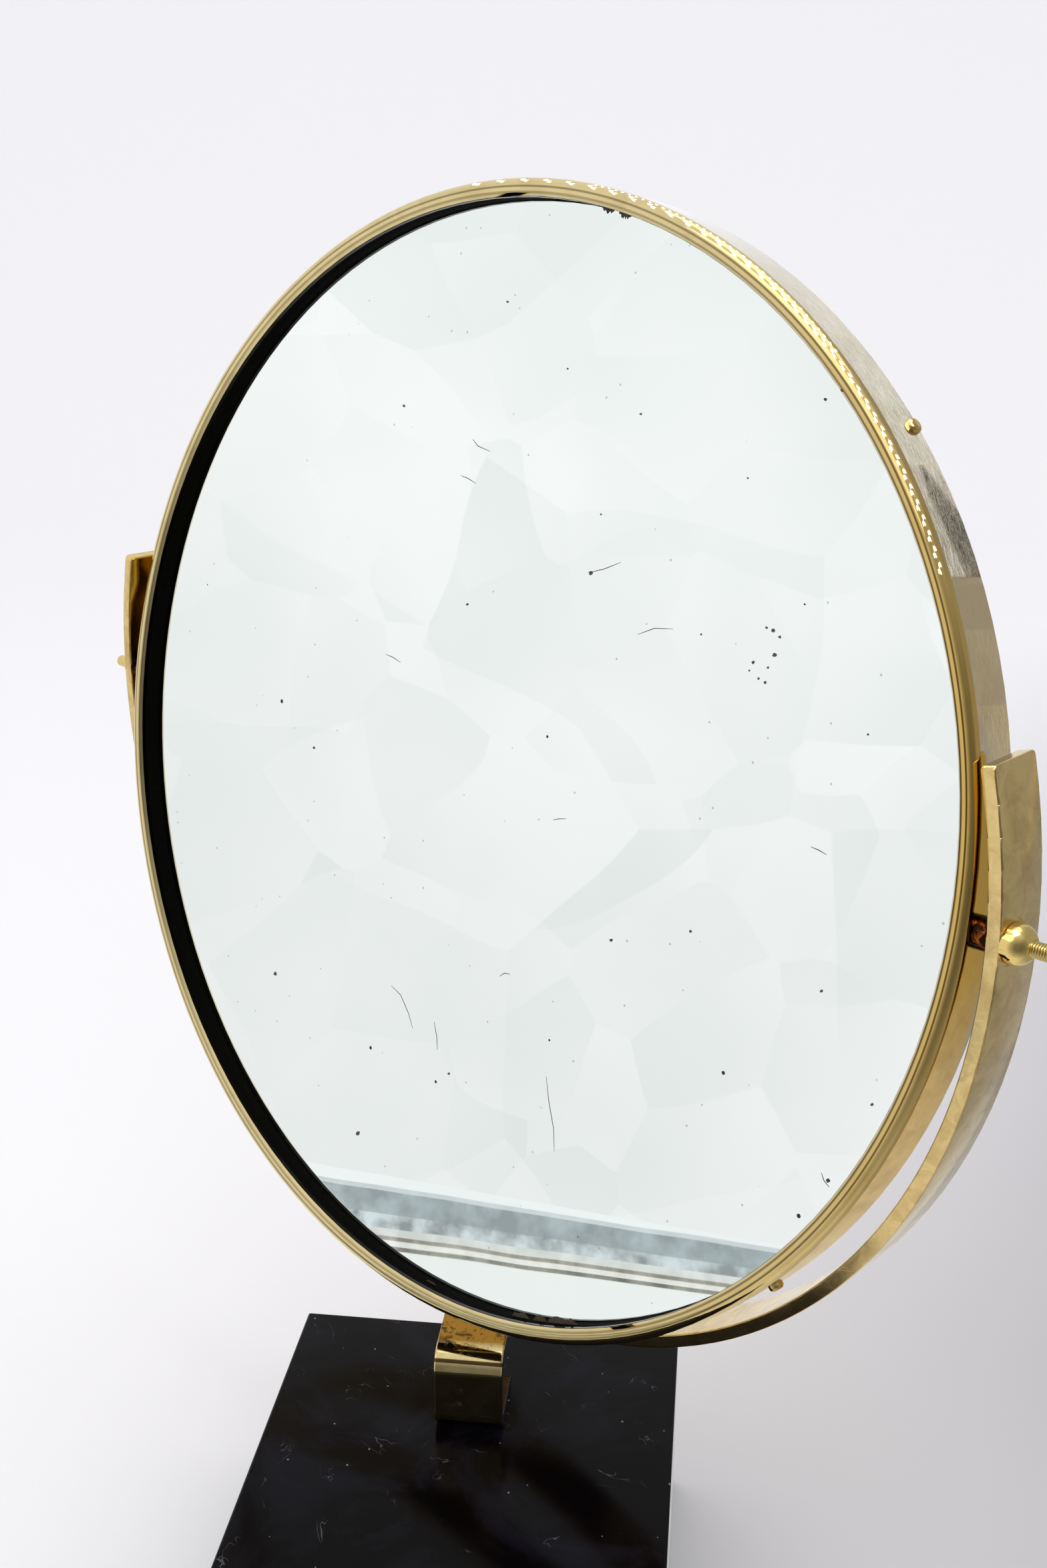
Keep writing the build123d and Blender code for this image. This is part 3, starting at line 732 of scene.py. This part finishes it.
def card(name, corners, colour, strength=1.0, grain=0.0):
    """A flat panel that only reflections see."""
    material, tree, glow = glowing(name, colour, strength)
    if grain:
        coords = tree.nodes.new("ShaderNodeTexCoord")
        noise = tree.nodes.new("ShaderNodeTexNoise")
        noise.inputs["Scale"].default_value = 80.0
        noise.inputs["Detail"].default_value = 6.0
        mixed = tree.nodes.new("ShaderNodeMix")
        mixed.data_type = "RGBA"
        tree.links.new(coords.outputs["Object"], noise.inputs["Vector"])
        wider = tree.nodes.new("ShaderNodeMapRange")
        wider.inputs[1].default_value = 0.36
        wider.inputs[2].default_value = 0.64
        tree.links.new(noise.outputs[0], wider.inputs[0])
        tree.links.new(wider.outputs[0], mixed.inputs[0])
        mixed.inputs[6].default_value = tuple(c * (1 - grain) for c in colour[:3]) + (1.0,)
        mixed.inputs[7].default_value = tuple(min(1.0, c * (1 + grain)) for c in colour[:3]) + (1.0,)
        tree.links.new(mixed.outputs[2], glow.inputs["Color"])
    seen_in_reflections_only(plain_stage(name, corners, [tuple(range(len(corners)))], material))


def band_point(angle, depth, distance):
    """A place in the room whose reflection shows on the wide band, by angle and depth in mm."""
    out = HEAD.to_3x3() @ Vector((cos(radians(angle)), 0, sin(radians(angle))))
    spot = HEAD @ Vector((0, depth / 1000, 0)) + out * BAND_RADIUS
    way = (spot - CAMERA_PLACE).normalized()
    return spot + (way - 2 * way.dot(out) * out) * distance


def shoulder_point(angle, lean, distance):
    """The same for the bezel's round shoulder, where lean 0 faces outwards and 90 forwards."""
    turn = HEAD.to_3x3()
    out = Vector((cos(radians(angle)), 0, sin(radians(angle))))
    normal = turn @ (out * cos(radians(lean)) - Vector((0, sin(radians(lean)), 0)))
    spot = HEAD @ (out * SHOULDER_CENTRE + Vector((0, BAND_FRONT, 0))) + normal * SHOULDER_ROUND
    way = (spot - CAMERA_PLACE).normalized()
    return spot + (way - 2 * way.dot(normal) * normal) * distance


# Strips low in the glass: name, upper and lower pixel rows at the left and right column, colour, grain, distance
LEDGE_COLUMNS = (300, 1300)
LEDGE_STRIPS = (
    ("ledge_glow", (1712, 1740), (1888, 1902), (246, 249, 249), 0.0, LEDGE_GLOW_DISTANCE),
    ("ledge_edge", (1733, 1742), (1891, 1900), (212, 219, 220), 0.05, LEDGE_EDGE_DISTANCE),
    ("ledge_grey", (1740, 1778), (1898, 1926), (168, 178, 181), 0.18, LEDGE_TOP_DISTANCE),
    ("ledge_pale", (1777, 1801), (1925, 1940), (190, 198, 200), 0.38, LEDGE_TOP_DISTANCE),
    ("ledge_line", (1801, 1812), (1940, 1952), (224, 226, 222), 0.10, LEDGE_DISTANCE),
    ("ledge_brown", (1812, 1819), (1952, 1958), (168, 164, 152), 0.30, LEDGE_DISTANCE),
    ("ledge_white", (1818, 1826), (1957, 1964), (238, 238, 232), 0.10, LEDGE_DISTANCE),
    ("ledge_dark", (1827, 1834), (1965, 1971), (150, 148, 138), 0.35, LEDGE_DISTANCE),
    ("ledge_front", (1834, 2100), (1971, 2160), (243, 246, 244), 0.0, LEDGE_DISTANCE),
)

# Pale panels over the band's upper right: how many, the first angle and the step in degrees, and the depths in mm
PALE_COUNT = 7
PALE_FIRST_ANGLE = 84.0
PALE_STEP = 8.0
PALE_DEPTHS = (-7.0, 13.0)
PALE_COLOUR = srgb(236, 240, 246)
PALE_STRENGTH = 1.2

# The dark patch and the dimmer stretch below it: angle and two depths in mm where each starts and ends, and colour
BAND_DEPTHS = (-4.5, 9.6)
BAND_PATCHES = (
    ((38.2, 0.4, 2.4), (35.4, -1.2, 6.0), (40, 26, 18)),
    ((35.4, -1.2, 6.0), (32.0, 0.6, 14.0), (12, 6, 4)),
    ((32.0, 0.6, 14.0), (29.6, 2.0, 14.0), (26, 14, 8)),
    ((29.6, 2.0, 14.0), (28.4, 3.0, 14.0), (84, 60, 42)),
    ((28.4, *BAND_DEPTHS), (24.0, *BAND_DEPTHS), (176, 162, 138)),
    ((24.0, *BAND_DEPTHS), (18.0, *BAND_DEPTHS), (190, 178, 152)),
    ((18.0, *BAND_DEPTHS), (5.0, *BAND_DEPTHS), (206, 194, 164)),
)


def reflected_room():
    """What shows in the glass low down and on the band, as panels that only reflections see."""
    left, right = LEDGE_COLUMNS
    for name, at_left, at_right, colour, grain, distance in LEDGE_STRIPS:
        corners = ((left, at_left[0]), (right, at_right[0]), (right, at_right[1]), (left, at_left[1]))
        placed = [mirrored_point(u, v, distance) for u, v in corners]
        card(name, placed, srgb(*colour), grain=grain)
    near, far = PALE_DEPTHS
    for index in range(PALE_COUNT):
        start = PALE_FIRST_ANGLE - PALE_STEP * index
        end = start - PALE_STEP
        corners = ((start, near), (start, far), (end, far), (end, near))
        placed = [band_point(a, d, PALE_PANEL_DISTANCE) for a, d in corners]
        card(f"band_pale_{index}", placed, PALE_COLOUR, PALE_STRENGTH)
    for index, (start, end, colour) in enumerate(BAND_PATCHES):
        corners = ((start[0], start[1]), (start[0], start[2]), (end[0], end[2]), (end[0], end[1]))
        placed = [band_point(a, d, BAND_PANEL_DISTANCE) for a, d in corners]
        card(f"band_dark_{index}", placed, srgb(*colour))


def soft_world():
    """Even white light. Reflections see crumpled white paper and a dimmer room to the right and behind."""
    world = bpy.data.worlds.new("studio")
    world.use_nodes = True
    tree = world.node_tree
    tree.nodes.clear()

    def add(kind, inputs=(), **settings):
        made = tree.nodes.new(kind)
        for name, value in settings.items():
            setattr(made, name, value)
        for name, value in dict(inputs).items():
            if isinstance(value, bpy.types.NodeSocket):
                tree.links.new(value, made.inputs[name])
            else:
                made.inputs[name].default_value = value
        return made

    def math(operation, first, second):
        return add("ShaderNodeMath", {0: first, 1: second}, operation=operation).outputs[0]

    def spread(value, low, high, start, end):
        return add("ShaderNodeMapRange", {0: value, 1: low, 2: high, 3: start, 4: end}).outputs[0]

    way = add("ShaderNodeTexCoord").outputs["Generated"]
    path = add("ShaderNodeLightPath").outputs
    warp = add("ShaderNodeTexNoise", {"Vector": way, "Scale": 4.0, "Detail": 2.0}).outputs["Color"]
    bent = add("ShaderNodeVectorMath", {0: warp, "Scale": 0.07}, operation="SCALE").outputs[0]
    bent = add("ShaderNodeVectorMath", {0: way, 1: bent}, operation="ADD").outputs[0]

    def facets(scale):
        """Flat tilted pieces that meet in creases."""
        cells = add("ShaderNodeTexVoronoi", {"Vector": bent, "Scale": scale}).outputs
        inside = add("ShaderNodeVectorMath", {0: bent, 1: cells["Position"]}, operation="SUBTRACT")
        lean = add("ShaderNodeVectorMath", {0: cells["Color"], 1: (0.5, 0.5, 0.5)}, operation="SUBTRACT")
        tilted = add(
            "ShaderNodeVectorMath", {0: inside.outputs[0], 1: lean.outputs[0]}, operation="DOT_PRODUCT"
        ).outputs["Value"]
        return math("MULTIPLY", tilted, scale)

    broad = add("ShaderNodeTexNoise", {"Vector": way, "Scale": 3.5, "Detail": 3.0}).outputs[0]
    folds = math("ADD", math("MULTIPLY", facets(6.0), 0.40), math("MULTIPLY", facets(13.0), 0.30))
    folds = spread(math("ADD", folds, broad), 0.16, 0.64, 0.0, 1.0)
    paper = add("ShaderNodeMix", {0: folds, 6: SHADED_PAPER, 7: WHITE_PAPER}, data_type="RGBA").outputs[2]
    direct = path["Is Camera Ray"]
    plain = add("ShaderNodeMix", {0: direct, 6: paper, 7: PLAIN_SKY}, data_type="RGBA")
    x, y, z = add("ShaderNodeSeparateXYZ", {0: way}).outputs
    right = math("MULTIPLY", spread(x, 0.05, 0.60, 1.0, 0.44), spread(z, -0.15, 0.08, 0.93, 1.0))
    behind = spread(y, -0.97, -0.50, 0.22, 1.0)
    dim = math("MAXIMUM", math("MULTIPLY", right, behind), path["Is Camera Ray"])
    shown = add("ShaderNodeBackground", {"Color": plain.outputs[2], "Strength": dim})
    light = add("ShaderNodeBackground", {"Color": (1.0, 1.0, 1.0, 1.0), "Strength": SKY_STRENGTH})
    seen = math("MAXIMUM", path["Is Camera Ray"], path["Is Glossy Ray"])
    seen = math("MAXIMUM", seen, path["Is Transmission Ray"])
    mixed = add("ShaderNodeMixShader", {0: seen, 1: light.outputs[0], 2: shown.outputs[0]})
    out = add("ShaderNodeOutputWorld")
    tree.links.new(mixed.outputs[0], out.inputs["Surface"])
    bpy.context.scene.world = world


def lamp(name, place, aim, size, power):
    data = bpy.data.lights.new(name, "AREA")
    data.shape = "DISK"
    data.size = size
    data.energy = power
    light = bpy.data.objects.new(name, data)
    bpy.context.scene.collection.objects.link(light)
    light.location = place
    light.rotation_mode = "QUATERNION"
    light.rotation_quaternion = (Vector(aim) - Vector(place)).to_track_quat("-Z", "Y")


def bead_lights():
    """Small bright bars whose images run as beads along the bezel's shoulder."""
    material = glowing("bead_glow", (1.0, 1.0, 1.0, 1.0), BEAD_STRENGTH)[0]
    points, faces = [], []

    def bead(angle, width, low, high):
        first = len(points)
        start, end = angle - width, angle + width
        for a, lean in ((start, low), (end, low), (end, high), (start, high)):
            points.append(shoulder_point(a, lean, BEAD_DISTANCE))
        faces.append((first, first + 1, first + 2, first + 3))

    angle, step = 96.0, 3.3
    while angle > 28.0:
        bead(angle + 0.40, 0.15, 42, 54)
        bead(angle - 0.12, 0.15, 52, 64)
        angle -= step
        step = max(1.35, step * 0.955)
    for k in range(38):
        bead(81.0 - 0.85 * k, 0.11, 26, 33)
    seen_in_reflections_only(plain_stage("beads", points, faces, material))


def set_up_room():
    floor_sweep()
    reflected_room()
    bead_lights()
    soft_world()
    lamp("key", (-1.1, -0.9, 1.5), (0, 0.05, 0.2), 1.3, KEY_POWER)
    lamp("top", (0.1, 0.2, 1.9), (0, 0.05, 0.2), 1.2, TOP_POWER)
    settings = bpy.context.scene.view_settings
    settings.view_transform = "Standard"


# The mirror


def dress_mirror():
    for node in NODES.values():
        smooth(node)
    dress(black_marble(), "marble_base")
    dress(cloth("felt_black", srgb(24, 24, 24)), "felt_pad")
    dress(bracket_wear_and_painted_light(), "stem_bracket")
    dress(polished_brass("fastener_brass_aged", srgb(208, 176, 108), 0.16, 0.4),
          "stem_bolt", "swivel_bolt", "swivel_washer", "swivel_nut", "band_screws")
    dress(plain_steel(), "stem_washer", "stem_nut", "swivel_lock_washer")
    dress(yoke_aged_with_painted_shade(), "yoke_band")
    dress(brushed_band(), "outer_band")
    dress(turned_bezel(), "front_bezel")
    dress(black_rubber(), "glass_gasket")
    dress(aged_glass(), "mirror_glass")
    dress(card_back(), "backing_pad")
    dress(polished_brass("plate_brass_aged", srgb(206, 182, 124), 0.20, 0.35), "back_plate")
    dress(dark_spacer(), "right_spacer", "left_spacer")
    stud = polished_brass("stud_brass_aged", srgb(224, 198, 130), 0.12, 0.30)
    dress(stud, "left_pivot_stud")
    nut = polished_brass("nut_brass_aged", srgb(232, 204, 128), 0.06, 0.18)
    dress(nut, "right_dome_nut", "left_lock_nut")
    threaded_stud(stud)
    marks_on_glass(dark_mark())


make_camera()
set_up_room()
dress_mirror()
